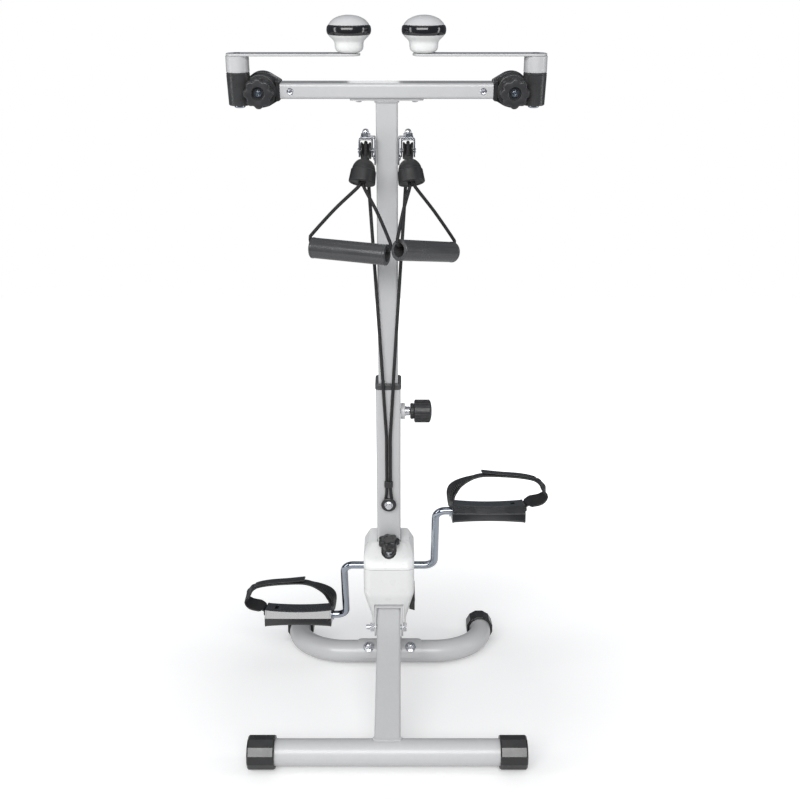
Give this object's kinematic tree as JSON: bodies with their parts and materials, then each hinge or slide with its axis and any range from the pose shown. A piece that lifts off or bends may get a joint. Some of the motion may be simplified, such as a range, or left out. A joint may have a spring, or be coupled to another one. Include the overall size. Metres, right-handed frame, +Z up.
{
  "type": "dual exercise bike",
  "caption": "Standing arm and leg exerciser: leaning mast on a T base, boxed pedal cranks with foot straps, tilting hand cranks and elastic pull handles.",
  "frame": {"origin": "on the floor, under the middle of the whole exerciser", "axes": "+Z up, +X to the user's right, -Y towards the user"},
  "size_m": [0.4928, 0.4636, 1.038],
  "materials": {
    "silver_paint": "satin metallic",
    "chrome": "polished",
    "steel": "machined",
    "bronze": "sintered",
    "black_plastic": "satin",
    "grey_plastic": "satin",
    "white_plastic": "semi-gloss",
    "black_rubber": "matte",
    "black_cord": "braided"
  },
  "bodies": {
    "stand": {"mast_outer_tube": "silver_paint", "axle_shell": "steel", "leg_bracket": "silver_paint", "saddle_plate": "silver_paint", "rear_stabilizer": "silver_paint", "rear_cap_left": "black_plastic", "rear_cap_right": "black_plastic", "saddle_bolt_left": "chrome", "saddle_bolt_right": "chrome", "mast_bushing": "black_plastic", "housing_upper": "white_plastic", "housing_lower": "white_plastic", "counter": "black_plastic", "bearing_left": "bronze", "bearing_right": "bronze", "cord_anchor": "black_plastic", "elastic_cord": "black_cord", "leg_bolt": "chrome", "pin_sleeve": "chrome", "front_post": "silver_paint", "front_stabilizer": "silver_paint", "front_cap_left": "black_plastic", "front_cap_right": "black_plastic"},
    "mast_top": {"mast_inner_tube": "silver_paint", "t_bar_plate": "silver_paint", "t_bar": "silver_paint", "left_clamp_base": "black_plastic", "right_clamp_base": "black_plastic", "left_pulley_hanger": "steel", "right_pulley_hanger": "steel", "left_pulley_block": "chrome", "right_pulley_block": "chrome"},
    "height_pin": {"height_pin": "black_plastic"},
    "counter_button": {"counter_button": "grey_plastic"},
    "cranks": {"crank_axle": "steel", "left_crank": "chrome", "right_crank": "chrome"},
    "left_pedal": {"left_pedal": "black_plastic", "left_pedal_strap": "black_rubber"},
    "right_pedal": {"right_pedal": "black_plastic", "right_pedal_strap": "black_rubber"},
    "brake_shoe": {"brake_shoe": "black_rubber"},
    "tension_knob": {"tension_knob": "black_plastic", "tension_screw": "chrome"},
    "left_tilt_arm": {"left_arm_socket": "black_plastic"},
    "right_tilt_arm": {"right_arm_socket": "black_plastic"},
    "left_star_knob": {"left_star_knob": "black_plastic"},
    "right_star_knob": {"right_star_knob": "black_plastic"},
    "left_hand_crank": {"left_hand_crank": "silver_paint"},
    "right_hand_crank": {"right_hand_crank": "silver_paint"},
    "left_hand_knob": {"left_hand_knob": "white_plastic"},
    "right_hand_knob": {"right_hand_knob": "white_plastic"},
    "left_handle": {"left_cord_stopper": "black_rubber", "left_handle_strap": "black_cord", "left_handle_grip": "black_plastic"},
    "right_handle": {"right_cord_stopper": "black_rubber", "right_handle_strap": "black_cord", "right_handle_grip": "black_plastic"},
    "left_pulley_wheel": {"left_pulley_wheel": "black_plastic"},
    "right_pulley_wheel": {"right_pulley_wheel": "black_plastic"}
  },
  "joints": [
    {"name": "mast_height", "type": "slide", "parent": "stand", "child": "mast_top", "axis": [0, -0.2079, 0.9781], "range_m": [-0.1, 0.05], "deforming": ["elastic_cord"]},
    {"name": "height_pin_pull", "type": "slide", "parent": "stand", "child": "height_pin", "axis": [1, 0, 0], "range_m": [0, 0.01], "stiffness_N_per_m": 800, "springref_m": -0.004},
    {"name": "counter_press", "type": "slide", "parent": "stand", "child": "counter_button", "axis": [-1, 0, 0], "range_m": [0, 0.0008], "stiffness_N_per_m": 600, "springref_m": -0.0008},
    {"name": "crank_spin", "type": "hinge", "parent": "stand", "child": "cranks", "pos_m": [0, 0.0346, 0.21282], "axis": [1, 0, 0], "continuous": true},
    {"name": "left_pedal_spin", "type": "hinge", "parent": "cranks", "child": "left_pedal", "pos_m": [-0.15, 0.09134, 0.10145], "axis": [1, 0, 0], "continuous": true},
    {"name": "right_pedal_spin", "type": "hinge", "parent": "cranks", "child": "right_pedal", "pos_m": [0.15, -0.02215, 0.3242], "axis": [1, 0, 0], "continuous": true},
    {"name": "tension_advance", "type": "slide", "parent": "stand", "child": "brake_shoe", "axis": [0, 0.2079, -0.9781], "range_m": [0, 0.0018]},
    {"name": "tension_turn", "type": "hinge", "parent": "brake_shoe", "child": "tension_knob", "pos_m": [0, 0.0346, 0.21282], "axis": [0, 0.2079, -0.9781], "range_deg": [0, 540]},
    {"name": "left_arm_tilt", "type": "hinge", "parent": "mast_top", "child": "left_tilt_arm", "pos_m": [-0.1705, -0.0831, 0.94592], "axis": [0, -0.9781, -0.2079], "range_deg": [0, 90]},
    {"name": "right_arm_tilt", "type": "hinge", "parent": "mast_top", "child": "right_tilt_arm", "pos_m": [0.1705, -0.0831, 0.94592], "axis": [0, 0.9781, 0.2079], "range_deg": [0, 90]},
    {"name": "left_star_turn", "type": "hinge", "parent": "mast_top", "child": "left_star_knob", "pos_m": [-0.1705, -0.11831, 0.93844], "axis": [0, -0.9781, -0.2079], "range_deg": [0, 540]},
    {"name": "right_star_turn", "type": "hinge", "parent": "mast_top", "child": "right_star_knob", "pos_m": [0.1705, -0.11831, 0.93844], "axis": [0, -0.9781, -0.2079], "range_deg": [0, 540]},
    {"name": "left_crank_turn", "type": "hinge", "parent": "left_tilt_arm", "child": "left_hand_crank", "pos_m": [-0.199, -0.09953, 0.94243], "axis": [0, -0.2079, 0.9781], "continuous": true},
    {"name": "right_crank_turn", "type": "hinge", "parent": "right_tilt_arm", "child": "right_hand_crank", "pos_m": [0.199, -0.09953, 0.94243], "axis": [0, -0.2079, 0.9781], "continuous": true},
    {"name": "left_knob_spin", "type": "hinge", "parent": "left_hand_crank", "child": "left_hand_knob", "pos_m": [-0.0495, -0.11283, 1.00498], "axis": [0, -0.2079, 0.9781], "continuous": true},
    {"name": "right_knob_spin", "type": "hinge", "parent": "right_hand_crank", "child": "right_hand_knob", "pos_m": [0.0495, -0.11283, 1.00498], "axis": [0, -0.2079, 0.9781], "continuous": true},
    {"name": "left_handle_pull", "type": "slide", "parent": "mast_top", "child": "left_handle", "axis": [0, -0.2588, -0.9659], "range_m": [0, 0.3], "stiffness_N_per_m": 100, "springref_m": -0.05, "deforming": ["elastic_cord"]},
    {"name": "right_handle_pull", "type": "slide", "parent": "mast_top", "child": "right_handle", "axis": [0, -0.2588, -0.9659], "range_m": [0, 0.3], "stiffness_N_per_m": 100, "springref_m": -0.05, "deforming": ["elastic_cord"]},
    {"name": "left_wheel_spin", "type": "hinge", "parent": "mast_top", "child": "left_pulley_wheel", "pos_m": [-0.029, -0.08637, 0.86513], "axis": [1, 0, 0], "continuous": true},
    {"name": "right_wheel_spin", "type": "hinge", "parent": "mast_top", "child": "right_pulley_wheel", "pos_m": [0.029, -0.08637, 0.86513], "axis": [1, 0, 0], "continuous": true}
  ],
  "couplings": [
    {"joint": "tension_turn", "follows": "tension_advance", "rad_per_m": 5026.6},
    {"joint": "left_wheel_spin", "follows": "left_handle_pull", "rad_per_m": 92.593},
    {"joint": "right_wheel_spin", "follows": "right_handle_pull", "rad_per_m": 92.593}
  ]
}
